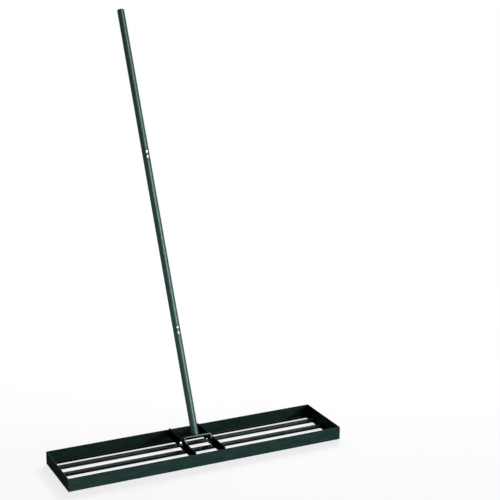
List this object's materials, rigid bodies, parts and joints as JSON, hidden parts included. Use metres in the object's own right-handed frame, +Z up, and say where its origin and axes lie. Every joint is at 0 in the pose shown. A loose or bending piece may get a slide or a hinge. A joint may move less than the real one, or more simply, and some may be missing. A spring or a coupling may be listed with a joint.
{
  "type": "lawn leveling rake",
  "caption": "Wide open steel leveling head with folded slats, swung on a U-shaped yoke at the foot of a long bolted tube handle, for spreading soil on lawns.",
  "frame": {"origin": "on the ground under the middle of the head, on the foot of the middle slat", "axes": "+X along the head to the right, +Y to the back, where the handle leans, +Z up"},
  "size_m": [1.067, 0.8556, 1.5657],
  "materials": {
    "powder_coat": "satin powder coat",
    "zinc": "bright zinc plate",
    "black_steel": "black oxide",
    "white_plastic": "natural nylon",
    "black_plastic": "fine matt"
  },
  "bodies": {
    "head": {"front_wall": "powder_coat", "back_wall": "powder_coat", "left_end_wall": "powder_coat", "right_end_wall": "powder_coat", "rear_slat": "powder_coat", "middle_slat": "powder_coat", "front_slat": "powder_coat", "left_cross_plate": "powder_coat", "right_cross_plate": "powder_coat", "left_pivot_bolt": "zinc", "right_pivot_bolt": "zinc", "left_pivot_nut": "black_steel", "right_pivot_nut": "black_steel", "pivot_outer_washers": "zinc", "pivot_friction_washers": "white_plastic", "pivot_inner_washers": "black_steel"},
    "handle": {"yoke": "powder_coat", "lower_tube": "powder_coat", "middle_tube": "powder_coat", "upper_tube": "powder_coat", "lower_coupling_sleeve": "zinc", "upper_coupling_sleeve": "zinc", "lower_joint_bolts": "zinc", "upper_joint_bolts": "zinc", "lower_joint_nuts": "zinc", "upper_joint_nuts": "zinc", "end_cap": "black_plastic"}
  },
  "joints": [
    {"name": "handle_swing", "type": "hinge", "parent": "head", "child": "handle", "pos_m": [0, 0, 0.0425], "axis": [1, 0, 0], "range_deg": [-52.2, 107.1]}
  ]
}
